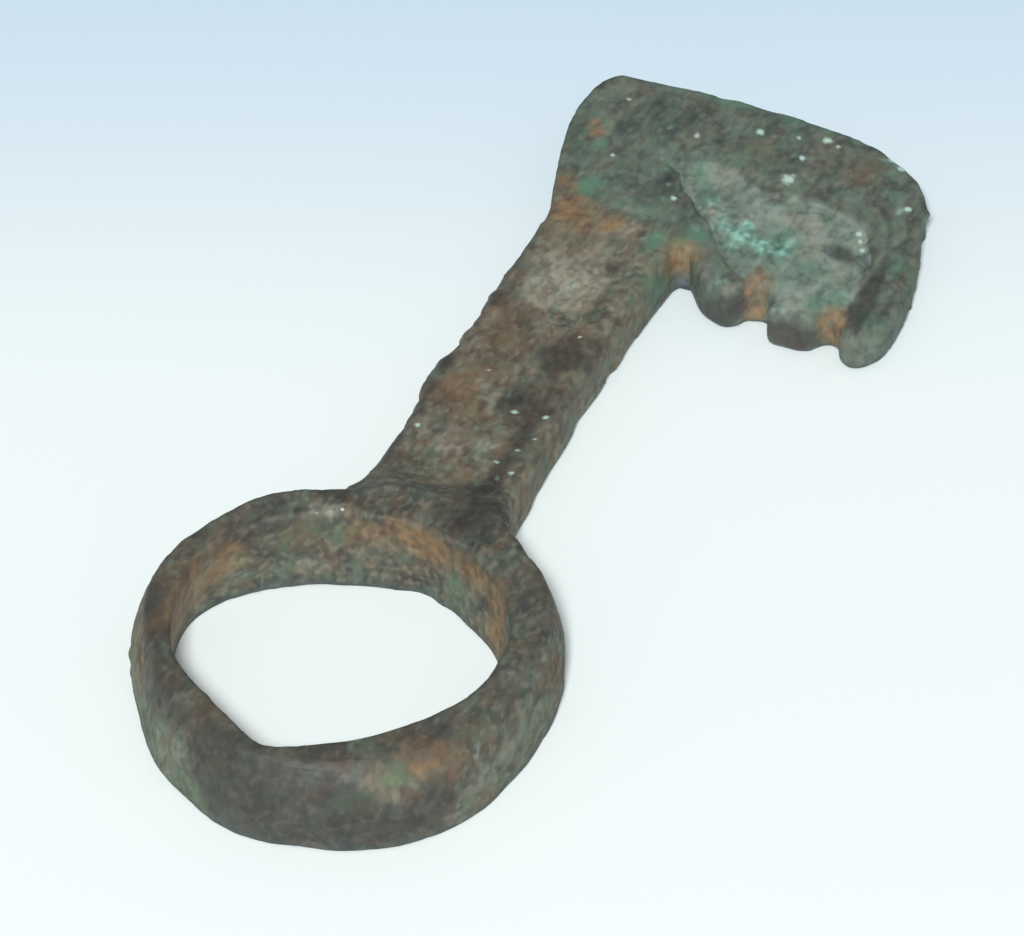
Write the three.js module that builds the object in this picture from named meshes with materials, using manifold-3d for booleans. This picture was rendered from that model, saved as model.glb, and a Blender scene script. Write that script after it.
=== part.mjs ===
// Bronze finger-ring key: a broad ring bow, a flat bar shank and a plate bit with three cut notches.
// Millimetres, +Z up. The key lies flat: X runs from the bow to the bit, the bit's teeth point back at the bow.
// While it is drawn, the ring's middle is at X 0, Y 0. The finished key is moved to its own origin at the end.
import * as THREE from 'three';
import { mergeVertices } from 'three/addons/utils/BufferGeometryUtils.js';
import Module from 'manifold-3d';

const wasm = await Module();
wasm.setup();

// Bow: a finger ring, drawn out a little on the side away from the shank.
const RING_OUTER_RADIUS = 11.9;
const RING_BORE_RADIUS = 9.25;
const RING_HEIGHT = 5.3;
const RING_TOP_DRAW_IN = 0.9;
const RING_BOTTOM_DRAW_IN = 0.2;
const RING_EDGE_ROUND = 0.35;
const OUTER_PULL = 1.4;
const OUTER_PULL_ANGLE = 200;
const OUTER_PULL_SHARPNESS = 7;
const BORE_PULL = 1.0;
const BORE_PULL_ANGLE = 183;
const BORE_PULL_SHARPNESS = 34;
const BORE_FLARE = 1.5;
const BORE_FLARE_ANGLE = 78;
const BORE_FLARE_SHARPNESS = 20;
const BORE_DRAW_IN = 0.3;
const RING_SKEW = 0.3;
const RING_SKEW_ANGLE = -50;

// Shoulder: where the shank grows out of the ring.
const SHOULDER_LENGTH = 4.7;
const SHOULDER_FLARE = 1.1;
const SHOULDER_STEP = 0.5;

// Shank: a flat bar that swells a little in the middle, set to the left of the ring's middle.
const SHANK_LENGTH = 23.0;
const SHANK_WIDTH = 8.1;
const SHANK_THICKNESS = 3.4;
const SHANK_SIDE_SHIFT = 0.5;
const SHANK_SWELL_LEFT = 0.55;
const SHANK_SWELL_RIGHT = 0.2;
const SHANK_CORNER_ROUND = 0.8;

// Bit: a plate standing out to the right of the shank, thinner towards its free end.
const BIT_LENGTH = 14.1;
const BIT_REACH = 13.6;
const BIT_LEFT_FLARE = 2.5;
const BIT_TIP_THICKNESS = 2.5;
const BIT_FAR_LEFT_ROUND = 3.4;
const BIT_FAR_RIGHT_ROUND = 4.4;
const BIT_END_LEAN = 2.0;
const BIT_ARRIS = 0.4;

// Teeth and the notches between them, along the edge that faces the bow.
const TOOTH_LENGTH = 2.9;
const NOTCH_WIDTH = 1.4;
const SECOND_NOTCH_DEPTH = 1.9;
const THIRD_NOTCH_DEPTH = 1.5;
const FIRST_NOTCH_WIDTH = 1.6;
const FIRST_NOTCH_BITE = 0.1;
const FIRST_TOOTH_WIDTH = 3.4;
const SECOND_TOOTH_WIDTH = 3.2;

// Fineness of the round surfaces.
const RING_STEPS = 72;
const CORNER_STEPS = 4;
const CURVE_STEPS = 6;
const SHANK_STEPS = 8;

const shoulderStart = (RING_BORE_RADIUS + RING_OUTER_RADIUS) / 2;
const shoulderEnd = RING_OUTER_RADIUS + SHOULDER_LENGTH;
const shankEnd = shoulderEnd + SHANK_LENGTH;
const shankRight = SHANK_SIDE_SHIFT - SHANK_WIDTH / 2;
const shankLeft = SHANK_SIDE_SHIFT + SHANK_WIDTH / 2;

// A skin over rows of points, each row with the same number of points. A loop's last row joins its first,
// and a bar is closed by a fan over each end.
function skin(rows, isLoop) {
  const count = rows[0].length;
  const positions = [];
  const faces = [];
  for (const row of rows) {
    for (const [x, y, z] of row) positions.push(x, y, z);
  }
  const bands = isLoop ? rows.length : rows.length - 1;
  for (let i = 0; i < bands; i++) {
    const next = (i + 1) % rows.length;
    for (let j = 0; j < count; j++) {
      const k = (j + 1) % count;
      faces.push(i * count + j, i * count + k, next * count + j);
      faces.push(i * count + k, next * count + k, next * count + j);
    }
  }
  if (!isLoop) {
    const last = (rows.length - 1) * count;
    for (let j = 1; j < count - 1; j++) {
      faces.push(0, j + 1, j);
      faces.push(last, last + j, last + j + 1);
    }
  }
  const geometry = new THREE.BufferGeometry();
  geometry.setAttribute('position', new THREE.Float32BufferAttribute(positions, 3));
  geometry.setIndex(faces);
  return geometry;
}

// Rounded rectangle across X at one place along the key, standing on Z 0.
function barSection(x, right, left, top) {
  const round = SHANK_CORNER_ROUND;
  const points = [];
  const corners = [
    [left - round, top - round, 0],
    [right + round, top - round, 90],
    [right + round, round, 180],
    [left - round, round, 270],
  ];
  for (const [y, z, start] of corners) {
    for (let k = 0; k <= CORNER_STEPS; k++) {
      const angle = THREE.MathUtils.degToRad(start + 90 * k / CORNER_STEPS);
      points.push([x, y + round * Math.cos(angle), z + round * Math.sin(angle)]);
    }
  }
  return points;
}

function toSolid(geometry) {
  const bare = geometry.clone();
  bare.deleteAttribute('normal');
  bare.deleteAttribute('uv');
  const merged = mergeVertices(bare, 1e-4);
  return new wasm.Manifold(new wasm.Mesh({
    numProp: 3,
    vertProperties: new Float32Array(merged.attributes.position.array),
    triVerts: new Uint32Array(merged.index.array),
  }));
}

function toGeometry(solid) {
  const mesh = solid.getMesh();
  const geometry = new THREE.BufferGeometry();
  geometry.setAttribute('position', new THREE.BufferAttribute(new Float32Array(mesh.vertProperties), 3));
  geometry.setIndex(new THREE.BufferAttribute(new Uint32Array(mesh.triVerts), 1));
  return geometry;
}

// A smooth bump round the ring: 1 at the given angle, falling to nothing opposite.
function pull(degrees, middle, sharpness) {
  const turn = THREE.MathUtils.degToRad(degrees - middle);
  return ((1 + Math.cos(turn)) / 2) ** sharpness;
}

function boreRadius(degrees) {
  return RING_BORE_RADIUS + BORE_PULL * pull(degrees, BORE_PULL_ANGLE, BORE_PULL_SHARPNESS);
}

// At its underside the bore is drawn in a little, and flares where it is worn.
function boreFootRadius(degrees) {
  const flare = BORE_FLARE * pull(degrees, BORE_FLARE_ANGLE, BORE_FLARE_SHARPNESS);
  return boreRadius(degrees) - BORE_DRAW_IN + flare;
}

function outerRadius(degrees) {
  const skew = RING_SKEW * Math.cos(THREE.MathUtils.degToRad(degrees - RING_SKEW_ANGLE));
  return RING_OUTER_RADIUS + skew + OUTER_PULL * pull(degrees, OUTER_PULL_ANGLE, OUTER_PULL_SHARPNESS);
}

// The ring's section at one angle: level bore, bulging outside, small rounds at the rims.
function ringSection(degrees) {
  const bore = boreRadius(degrees);
  const foot = boreFootRadius(degrees);
  const widest = outerRadius(degrees);
  const top = widest - RING_TOP_DRAW_IN;
  const bottom = widest - RING_BOTTOM_DRAW_IN;
  const round = RING_EDGE_ROUND;
  const section = new THREE.Shape();
  section.moveTo(foot + round, 0);
  section.lineTo(bottom - round, 0);
  section.quadraticCurveTo(bottom, 0, bottom, round);
  section.quadraticCurveTo(widest + RING_BOTTOM_DRAW_IN, RING_HEIGHT / 2, top, RING_HEIGHT - round);
  section.quadraticCurveTo(top, RING_HEIGHT, top - round, RING_HEIGHT);
  section.lineTo(bore + round, RING_HEIGHT);
  section.quadraticCurveTo(bore, RING_HEIGHT, bore, RING_HEIGHT - round);
  section.lineTo(foot, round);
  section.quadraticCurveTo(foot, 0, foot + round, 0);
  return section.getPoints(CURVE_STEPS).slice(0, -1);
}

function aroundRing(degrees, radius, z) {
  const angle = THREE.MathUtils.degToRad(degrees);
  return [radius * Math.cos(angle), radius * Math.sin(angle), z];
}

function ringGeometry() {
  const rows = [];
  for (let k = 0; k < RING_STEPS; k++) {
    const degrees = -360 * k / RING_STEPS;
    rows.push(ringSection(degrees).map((point) => aroundRing(degrees, point.x, point.y)));
  }
  return skin(rows, true);
}

// The shoulder narrows from a flare at the ring's height to the shank's section.
function shoulderGeometry() {
  const rise = RING_HEIGHT - SHOULDER_STEP - SHANK_THICKNESS;
  const rows = [];
  for (let k = 0; k <= CURVE_STEPS; k++) {
    const part = k / CURVE_STEPS;
    const fall = (1 - part) ** 2;
    const x = shoulderStart + (shoulderEnd - shoulderStart) * part;
    const flare = SHOULDER_FLARE * fall;
    rows.push(barSection(x, shankRight - flare, shankLeft + flare, SHANK_THICKNESS + rise * fall * fall));
  }
  return skin(rows, false);
}

// What stands inside the bore, cut away from the shoulder.
function boreGeometry() {
  const rows = [[boreFootRadius, -RING_HEIGHT], [boreRadius, 2 * RING_HEIGHT]].map(([radius, z]) => {
    const row = [];
    for (let k = 0; k < RING_STEPS; k++) {
      const degrees = 360 * k / RING_STEPS;
      row.push(aroundRing(degrees, radius(degrees) + RING_EDGE_ROUND, z));
    }
    return row;
  });
  return skin(rows, false);
}

function bowGeometry() {
  const shoulder = toSolid(shoulderGeometry()).subtract(toSolid(boreGeometry()));
  return toGeometry(toSolid(ringGeometry()).add(shoulder));
}

function shankGeometry() {
  const rows = [];
  for (let k = 0; k <= SHANK_STEPS; k++) {
    const part = k / SHANK_STEPS;
    const swell = Math.sin(Math.PI * part);
    const right = shankRight - SHANK_SWELL_RIGHT * swell;
    const left = shankLeft + SHANK_SWELL_LEFT * swell;
    rows.push(barSection(shoulderEnd + SHANK_LENGTH * part, right, left, SHANK_THICKNESS));
  }
  return skin(rows, false);
}

// The plate's outline seen from above, from the shank's right corner round by the teeth.
function bitOutline() {
  const rightEnd = shankRight - BIT_REACH;
  const leftEnd = shankLeft + BIT_LEFT_FLARE;
  const farEdge = shankEnd + BIT_LENGTH;
  const tip = shankEnd - TOOTH_LENGTH;
  const secondRoot = tip + SECOND_NOTCH_DEPTH;
  const thirdRoot = tip + THIRD_NOTCH_DEPTH;
  const firstTooth = shankRight - FIRST_NOTCH_WIDTH;
  const secondNotch = firstTooth - FIRST_TOOTH_WIDTH;
  const secondTooth = secondNotch - NOTCH_WIDTH;
  const thirdNotch = secondTooth - SECOND_TOOTH_WIDTH;
  const thirdTooth = thirdNotch - NOTCH_WIDTH;
  const round = NOTCH_WIDTH / 2;
  const lean = rightEnd + BIT_END_LEAN;
  const outline = new THREE.Shape();
  outline.moveTo(shankEnd, shankRight);
  // First notch, beside the shank, and the first tooth, which is round.
  outline.quadraticCurveTo(shankEnd + 2 * FIRST_NOTCH_BITE, shankRight - round, secondRoot, firstTooth);
  outline.quadraticCurveTo(tip, firstTooth - round, tip, firstTooth - FIRST_TOOTH_WIDTH / 2);
  outline.quadraticCurveTo(tip, secondNotch, secondRoot - round, secondNotch);
  // Second notch and the second tooth, which has a sharp corner towards the shank.
  outline.quadraticCurveTo(secondRoot + round, secondNotch - round, secondRoot - round, secondTooth);
  outline.lineTo(tip, secondTooth);
  outline.lineTo(tip, thirdNotch + 2 * round);
  outline.quadraticCurveTo(tip, thirdNotch, thirdRoot - round, thirdNotch);
  // Third notch and the last tooth, which runs round into the free end.
  outline.quadraticCurveTo(thirdRoot + round, thirdNotch - round, thirdRoot - round, thirdTooth);
  outline.quadraticCurveTo(tip, thirdTooth, tip - round / 2, thirdTooth - round);
  outline.quadraticCurveTo(tip - round / 2, rightEnd, tip + 3 * round, rightEnd);
  outline.quadraticCurveTo(farEdge - 2 * BIT_FAR_RIGHT_ROUND, rightEnd, farEdge - BIT_FAR_RIGHT_ROUND, lean);
  outline.quadraticCurveTo(
    farEdge - BIT_FAR_RIGHT_ROUND / 3, lean + BIT_FAR_RIGHT_ROUND / 4, farEdge, lean + BIT_FAR_RIGHT_ROUND);
  outline.lineTo(farEdge, leftEnd - BIT_FAR_LEFT_ROUND);
  outline.quadraticCurveTo(farEdge, leftEnd, farEdge - BIT_FAR_LEFT_ROUND, leftEnd);
  outline.quadraticCurveTo(shankEnd + BIT_LENGTH / 2, leftEnd, shankEnd, shankLeft);
  return outline;
}

function bitGeometry() {
  const geometry = new THREE.ExtrudeGeometry(bitOutline(), {
    depth: SHANK_THICKNESS - 2 * BIT_ARRIS,
    bevelEnabled: true,
    bevelSize: BIT_ARRIS,
    bevelThickness: BIT_ARRIS,
    bevelOffset: -BIT_ARRIS,
    bevelSegments: 2,
    curveSegments: CURVE_STEPS,
  });
  geometry.translate(0, 0, BIT_ARRIS);
  // The plate thins evenly from the shank towards its free end.
  const place = geometry.attributes.position;
  for (let i = 0; i < place.count; i++) {
    const outward = Math.max(0, shankRight - place.getY(i)) / BIT_REACH;
    const share = 1 - outward * (1 - BIT_TIP_THICKNESS / SHANK_THICKNESS);
    place.setZ(i, place.getZ(i) * share);
  }
  return geometry;
}

function bronze(color, roughness, metalness) {
  return new THREE.MeshStandardMaterial({ color, roughness, metalness });
}

function piece(name, geometry, material) {
  const mesh = new THREE.Mesh(geometry, material);
  mesh.name = name;
  return mesh;
}

const key = new THREE.Group();
key.add(piece('bow_ring', bowGeometry(), bronze(0x4e4a38, 0.75, 0.35)));
key.add(piece('shank', shankGeometry(), bronze(0x5d5443, 0.8, 0.3)));
key.add(piece('bit', bitGeometry(), bronze(0x54645a, 0.85, 0.2)));

// The origin is under the middle of the whole key, on the surface that it lies on.
const box = new THREE.Box3().setFromObject(key);
const middle = box.getCenter(new THREE.Vector3());
for (const mesh of key.children) mesh.position.set(-middle.x, -middle.y, -box.min.z);

export default key;
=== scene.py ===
"""Corroded bronze ring key lying on pale paper."""
import math
import bmesh
import bpy
import numpy as np
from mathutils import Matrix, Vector


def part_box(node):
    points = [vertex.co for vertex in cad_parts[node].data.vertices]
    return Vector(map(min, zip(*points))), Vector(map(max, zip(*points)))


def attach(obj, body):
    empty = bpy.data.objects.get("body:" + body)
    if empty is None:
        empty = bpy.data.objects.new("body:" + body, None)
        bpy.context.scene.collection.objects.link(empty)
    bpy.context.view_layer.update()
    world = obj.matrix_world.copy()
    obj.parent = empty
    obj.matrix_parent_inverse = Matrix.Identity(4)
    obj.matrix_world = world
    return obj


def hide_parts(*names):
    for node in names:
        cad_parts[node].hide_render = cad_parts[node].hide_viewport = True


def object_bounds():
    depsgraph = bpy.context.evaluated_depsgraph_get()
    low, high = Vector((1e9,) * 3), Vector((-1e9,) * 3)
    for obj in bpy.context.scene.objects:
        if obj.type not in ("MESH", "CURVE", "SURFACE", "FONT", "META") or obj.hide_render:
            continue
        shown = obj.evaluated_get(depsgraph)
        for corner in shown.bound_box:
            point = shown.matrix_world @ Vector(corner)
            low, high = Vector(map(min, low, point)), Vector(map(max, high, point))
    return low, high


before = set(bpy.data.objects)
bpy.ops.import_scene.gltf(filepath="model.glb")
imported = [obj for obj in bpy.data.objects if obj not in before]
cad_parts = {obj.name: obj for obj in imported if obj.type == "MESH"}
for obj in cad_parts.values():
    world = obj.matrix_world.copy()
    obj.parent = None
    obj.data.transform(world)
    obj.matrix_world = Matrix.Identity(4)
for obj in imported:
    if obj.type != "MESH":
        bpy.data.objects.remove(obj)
cad_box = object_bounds()

MM = 0.001

# The photograph's view: where the camera stands round the key, how high, how far, and its lens.
VIEW_AZIMUTH = math.radians(-66.6)
VIEW_ELEVATION = math.radians(40.63)
VIEW_DISTANCE = 400 * MM
FRAME_WIDTH = 1024
FOCAL_PIXELS = 7071.0
AIM_FROM_RING = Vector((20.82 * MM, -1.07 * MM, 0.0))

# The lamp beside the camera, turned and raised from it by these angles, and the light of the room.
FLASH_TURN = -0.1
FLASH_RISE = 0.08
FLASH_DISTANCE = 1.4
FLASH_SIZE = 0.23
FLASH_POWER = 19.6
ROOM_COLOUR = (0.95, 0.98, 1.0, 1.0)
ROOM_STRENGTH = 0.28

# Shapes are worked out in millimetres from the ring's middle: X along the shank, Y to its left, Z up.
RING_HEIGHT = 5.3
RING_MIDDLE_RADIUS = 12.0
RING_FOOT_ROUND = 0.22
RING_TOP_ROUND = 0.4
SHOULDER_START = 11.1
SHOULDER_RISE = 1.9
SHOULDER_CURVE = 1.5
SHOULDER_LEFT_SIDE = (2.2, 5.2)
SHOULDER_LEFT_LOWER_BY = 0.8
SHANK_START = 16.6
SHANK_END = 39.6
SHANK_RIGHT = -3.55
SHANK_THICKNESS = 3.4
SHANK_SWELL_RIGHT = 0.2
BIT_REACH = 13.6
BIT_TIP_THICKNESS = 2.5

# Ring radii: a level base, then swellings as (middle in degrees, height, sharpness).
OUTER_RADIUS = (11.82, (
    (200, 1.1, 9), (176, 0.25, 120), (224, 0.4, 60), (243, 0.18, 60), (305, 0.5, 20), (44, 0.35, 160),
    (124, -0.42, 30), (56, 0.15, 120), (320, 0.15, 80), (272, -0.12, 60)))
BORE_RADIUS = (8.83, (
    (184, 0.95, 200), (177, 0.5, 260), (193, 0.25, 300), (169, 0.62, 70), (200, 0.7, 40), (258, 0.17, 120),
    (288, 0.26, 14), (85, 0.45, 16), (132, 0.45, 44)))
FOOT_RADIUS = (8.72, (
    (79, 1.27, 18), (-4, 0.3, 160), (24, -0.3, 60), (330, -0.2, 60), (180, 0.8, 14), (108, 0.3, 60),
    (-10, 0.15, 120)))
RIDGE_HEIGHT = 2.2
TOP_DRAW_IN = (0.85, ((200, 0.7, 6),))
FOOT_DRAW_IN = 0.15

# The flat bar's outline seen from above: the shank's left side, round the bit, and back by its right side.
BAR_OUTLINE = (
    (9.0, 5.9), (11.6, 5.7), (12.9, 5.0), (14.4, 4.75), (16.6, 4.68), (18.6, 4.64), (20.4, 4.72),
    (21.5, 4.85), (21.9, 5.12), (23.2, 5.22), (24.3, 5.1), (25.4, 4.85), (26.5, 4.72), (26.9, 4.86),
    (27.8, 4.8), (29.3, 4.68), (29.9, 4.88), (31.5, 4.92), (33.5, 4.9), (35.8, 4.77), (38.0, 4.8),
    (39.6, 4.84), (41.0, 5.2), (43.2, 5.85), (45.6, 6.52), (47.6, 6.9), (49.6, 7.02), (51.0, 6.9),
    (52.2, 6.6), (53.0, 5.95), (53.3, 5.2), (53.36, 4.0), (53.36, 2.2), (53.55, 0.9), (53.58, 0.1),
    (53.42, -0.8), (53.55, -1.8), (53.4, -3.6), (53.52, -5.2), (53.45, -7.0), (53.5, -8.4), (53.3, -9.9),
    (53.05, -10.9), (52.5, -11.9), (52.0, -12.9), (51.3, -13.9), (50.3, -14.7), (49.6, -15.1),
    (49.0, -15.35), (48.4, -15.3), (46.8, -15.85), (45.4, -16.3), (43.5, -16.75), (41.6, -17.0),
    (39.7, -17.1), (38.2, -17.05), (37.1, -16.7), (36.4, -16.1), (36.25, -15.3), (36.6, -14.75),
    (37.2, -14.5), (37.4, -14.25), (37.6, -13.85), (37.45, -13.45), (37.2, -13.25), (36.75, -12.9),
    (36.45, -12.2), (36.4, -11.2), (36.45, -10.5), (36.7, -10.2), (37.5, -10.1), (37.95, -9.8),
    (38.1, -9.25), (37.95, -8.8), (37.7, -8.5), (37.2, -8.25), (36.75, -7.7), (36.75, -6.95),
    (37.1, -6.1), (37.6, -5.5), (38.2, -5.0), (38.7, -4.6), (39.1, -4.25), (38.95, -3.85), (38.6, -3.64),
    (38.0, -3.56), (35.8, -3.42), (33.3, -3.3), (30.9, -3.38), (30.0, -3.2), (28.0, -3.24), (25.8, -3.14),
    (24.9, -3.24), (23.9, -3.4), (22.4, -3.4), (20.6, -3.44), (18.8, -3.54), (17.3, -3.7), (15.6, -3.85),
    (13.6, -4.1), (11.5, -4.9), (9.0, -5.6))
SHANK_ROUND = 0.8
BIT_ROUND = 0.45
ROUND_CHANGE = 1.5
JOIN_BLEND = 1.2
BORE_CLEARANCE = 0.3
PIECE_OVERLAP = 0.6

# Where the grids that are laid over the skin begin and end.
GRID_RIGHT = -3.4
GRID_WIDTH = 8.1
BIT_GRID_LEFT = 4.3
BIT_INNER_EDGE = -3.6
RING_GRID_LEFT = 4.75
RING_GRID_RIGHT = 3.8
FAR_CORNERS = ((50.2, 6.6), (51.0, -14.0))
TOOTHED_EDGE = ((37.3, -16.7), (39.5, -4.0))

# Where crust has flaked from the bit's face, seen from above.
FLAKE_OUTLINE = (
    (46.2, -0.2), (45.4, -1.0), (44.6, -1.7), (43.8, -2.5), (42.7, -3.2), (42.0, -4.4), (40.4, -5.7),
    (38.9, -6.9), (37.8, -8.4), (34.0, -9.6), (34.0, -14.2), (37.6, -14.6), (40.4, -14.3), (43.4, -13.9),
    (45.3, -13.0), (46.1, -11.8), (46.8, -10.0), (46.6, -7.6), (46.3, -6.2), (47.0, -4.2), (47.0, -2.2))

# How deep or high each form of corrosion is. The skin is sunk by its margin to stay inside the CAD's box.
FLAKE_DEPTH = 0.3
CHIP_HEIGHT = 0.12
LAYER_STEP = 0.08
CRACK_WIDTH = 0.16
CRACK_DEPTH = 0.07
GRAIN_HEIGHT = 0.022
STREAK_HEIGHT = 0.03
SMALL_PIT_DEPTH = 0.04
LARGE_PIT_DEPTH = 0.06
CRUST_KNOB_HEIGHT = 0.02
CRUST_GRAIN_HEIGHT = 0.014
STREAK_LENGTH = 6.0
SKIN_MARGIN = 0.03

# Cracks and the edges of thin layers on the bit, as lines seen from above.
CRACKS = (
    ((42.4, -4.6), (41.2, -5.5), (39.4, -6.4), (38.8, -7.4)),
    ((47.0, -0.6), (48.4, -1.0), (49.2, -2.0), (50.4, -2.3)),
    ((36.8, -15.6), (39.6, -15.5), (43.0, -15.0), (46.4, -14.1), (48.0, -13.0)),
    ((38.4, -16.4), (41.8, -16.3), (45.2, -15.6), (48.0, -14.7)),
    ((43.2, -8.2), (42.2, -8.9), (41.4, -8.4), (40.6, -9.0)))

# Broad dips in the top, as (X, Y, reach along X, reach along Y, depth).
DIPS = (
    (41.4, -14.4, 2.6, 0.8, 0.22), (45.0, -3.4, 1.2, 1.6, 0.08), (36.2, -1.1, 1.0, 0.9, 0.12),
    (26.4, -1.4, 0.9, 1.2, 0.16), (19.6, -1.9, 4.4, 0.8, 0.12), (44.6, 0.6, 1.6, 1.4, 0.08),
    (12.6, 1.2, 1.4, 2.2, 0.1))

# Single lumps of crust as (X, Y, Z, width, height).
KNOBS = (
    (-4.3, 10.8, 2.5, 0.4, 0.16), (-4.9, 10.6, 1.5, 0.35, 0.14), (-5.8, 10.2, 2.2, 0.35, 0.1),
    (-9.6, 7.4, 0.9, 0.4, 0.25), (-10.6, 5.8, 1.1, 0.5, 0.25), (-12.0, 2.4, 0.9, 0.4, 0.2),
    (-12.4, 0.6, 1.0, 0.4, 0.2), (7.1, 9.2, 4.4, 0.7, 0.08), (5.6, -11.2, 3.4, 0.3, 0.2),
    (4.6, -11.6, 3.0, 0.35, 0.2), (3.6, -11.9, 2.8, 0.25, 0.2), (49.2, -15.3, 2.0, 0.3, 0.2),
    (24.6, 5.1, 3.0, 0.6, 0.12), (27.4, 4.9, 3.0, 0.5, 0.12), (9.5, -4.2, 4.9, 1.4, 0.15))


def smooth_step(low, high, value):
    """0 below low, 1 above high, an S curve between."""
    share = np.clip((value - low) / (high - low), 0.0, 1.0)
    return share * share * (3.0 - 2.0 * share)


def soft_min(a, b, width):
    """The smaller of two values, rounded where they are within width of each other."""
    near = np.maximum(width - np.abs(a - b), 0.0) / width
    return np.minimum(a, b) - near * near * width / 4.0


def soft_max(a, b, width):
    """The larger of two values, rounded where they are within width of each other."""
    return -soft_min(-a, -b, width)


def swelling(degrees, law):
    """A base value plus bumps round the ring, each ((1 + cos) / 2) to the power of its sharpness."""
    base, bumps = law
    total = np.full_like(degrees, base)
    for middle, height, sharpness in bumps:
        total = total + height * ((1.0 + np.cos(np.radians(degrees - middle))) / 2.0) ** sharpness
    return total


def scatter(cells, seed):
    """A fixed number from 0 to 1 for each cube of space, by mixing its whole-number place."""
    x, y, z = (cells[..., k].astype(np.int64).astype(np.uint32) for k in range(3))
    mixed = x * np.uint32(73856093) ^ y * np.uint32(19349663) ^ z * np.uint32(83492791)
    mixed = mixed ^ np.uint32((seed * 2654435761) % 2**32)
    mixed = (mixed ^ (mixed >> np.uint32(15))) * np.uint32(2246822519)
    mixed = (mixed ^ (mixed >> np.uint32(13))) * np.uint32(3266489917)
    return (mixed ^ (mixed >> np.uint32(16))) / 2.0**32


def swells(points, size, seed):
    """Smooth noise from -1 to 1: a random value at each cube's corners, eased between them."""
    place = points / size + 0.37 * seed
    cell = np.floor(place)
    share = place - cell
    share = share * share * share * (share * (share * 6.0 - 15.0) + 10.0)
    total = np.zeros(len(points))
    for corner in np.ndindex(2, 2, 2):
        weight = np.prod(np.where(corner, share, 1.0 - share), axis=1)
        total += weight * scatter(cell + corner, seed)
    return total * 2.0 - 1.0


def layered(points, size, octaves, seed):
    """Swells added at half the size and half the height each time."""
    return sum(swells(points, size / 2**k, seed + k) / 2**k for k in range(octaves))


def pits(points, size, fullness, seed):
    """Round hollows, 0 outside to 1 at the middle: one to a cube, of differing widths, some left out."""
    place = points / size
    cell = np.floor(place)
    deepest = np.zeros(len(points))
    for step in np.ndindex(3, 3, 3):
        near = cell + np.array(step) - 1.0
        middle = near + np.stack([scatter(near, seed + k) for k in range(3)], axis=-1)
        width = 0.25 + 0.45 * scatter(near, seed + 3)
        chosen = scatter(near, seed + 4) < fullness
        reach = np.sum((place - middle) ** 2, axis=1) / width**2
        deepest = np.maximum(deepest, np.where(chosen, np.maximum(1.0 - reach, 0.0), 0.0))
    return deepest


def rounded_curve(corners, steps=6):
    """A closed curve through the corners, each stretch a cubic that leaves in line with its neighbours."""
    p1 = np.array(corners, dtype=float)
    p0, p2, p3 = np.roll(p1, 1, axis=0), np.roll(p1, -1, axis=0), np.roll(p1, -2, axis=0)
    t = (np.arange(steps) / steps)[None, :, None]
    a, b, c, d = (p[:, None, :] for p in (p0, p1, p2, p3))
    curve = 0.5 * (2 * b + (c - a) * t + (2 * a - 5 * b + 4 * c - d) * t**2 + (3 * b - a - 3 * c + d) * t**3)
    return curve.reshape(-1, 2)


class Outline:
    """Distance from a closed outline, less than 0 inside it, kept on a fine level grid."""

    STEP = 0.1
    MARGIN = 3.0

    def __init__(self, corners):
        curve = rounded_curve(corners)
        self.low = curve.min(axis=0) - self.MARGIN
        count = np.ceil((curve.max(axis=0) + self.MARGIN - self.low) / self.STEP).astype(int) + 2
        x = self.low[0] + self.STEP * np.arange(count[0])[:, None]
        y = self.low[1] + self.STEP * np.arange(count[1])[None, :]
        nearest = np.full(count, np.inf)
        inside = np.zeros(count, dtype=bool)
        for (ax, ay), (bx, by) in zip(curve, np.roll(curve, -1, axis=0)):
            along = ((x - ax) * (bx - ax) + (y - ay) * (by - ay)) / ((bx - ax)**2 + (by - ay)**2)
            along = np.clip(along, 0.0, 1.0)
            nearest = np.minimum(nearest, (x - ax - along * (bx - ax))**2 + (y - ay - along * (by - ay))**2)
            crosses = (ay > y) != (by > y)
            if by != ay:
                inside ^= crosses & (x < (bx - ax) * (y - ay) / (by - ay) + ax)
        self.field = np.where(inside, -1.0, 1.0) * np.sqrt(nearest)

    def distance(self, x, y):
        """The grid's four nearest values, blended by place."""
        across = np.clip((x - self.low[0]) / self.STEP, 0, self.field.shape[0] - 1.001)
        up = np.clip((y - self.low[1]) / self.STEP, 0, self.field.shape[1] - 1.001)
        i, j = across.astype(int), up.astype(int)
        s, t = across - i, up - j
        near = self.field[i, j] * (1 - t) + self.field[i, j + 1] * t
        far = self.field[i + 1, j] * (1 - t) + self.field[i + 1, j + 1] * t
        return near * (1 - s) + far * s


bar_outline = Outline(BAR_OUTLINE)
flake_outline = Outline(FLAKE_OUTLINE)


def rounded_slab(side, level, height, edge):
    """Distance from a slab that stands on Z 0, given the distance from its side wall, with rounded edges."""
    across = side + edge
    upright = np.abs(level - height / 2.0) - height / 2.0 + edge
    inner = np.minimum(np.maximum(across, upright), 0.0)
    return inner + np.hypot(np.maximum(across, 0.0), np.maximum(upright, 0.0)) - edge


def bore_at(degrees, level):
    """Radius of the bore at a height: worn wider at the foot on one side."""
    share = smooth_step(0.0, RING_HEIGHT, level)
    return swelling(degrees, FOOT_RADIUS) * (1 - share) + swelling(degrees, BORE_RADIUS) * share


def outside_at(degrees, level):
    """Radius of the ring's outer wall at a height: widest at the ridge, drawn in above and below it."""
    above = np.clip((level - RIDGE_HEIGHT) / (RING_HEIGHT - RIDGE_HEIGHT), 0.0, 1.3)
    below = np.clip((RIDGE_HEIGHT - level) / RIDGE_HEIGHT, 0.0, 1.3)
    top = swelling(degrees, TOP_DRAW_IN)
    return swelling(degrees, OUTER_RADIUS) - top * above**1.5 - FOOT_DRAW_IN * below**2


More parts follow.
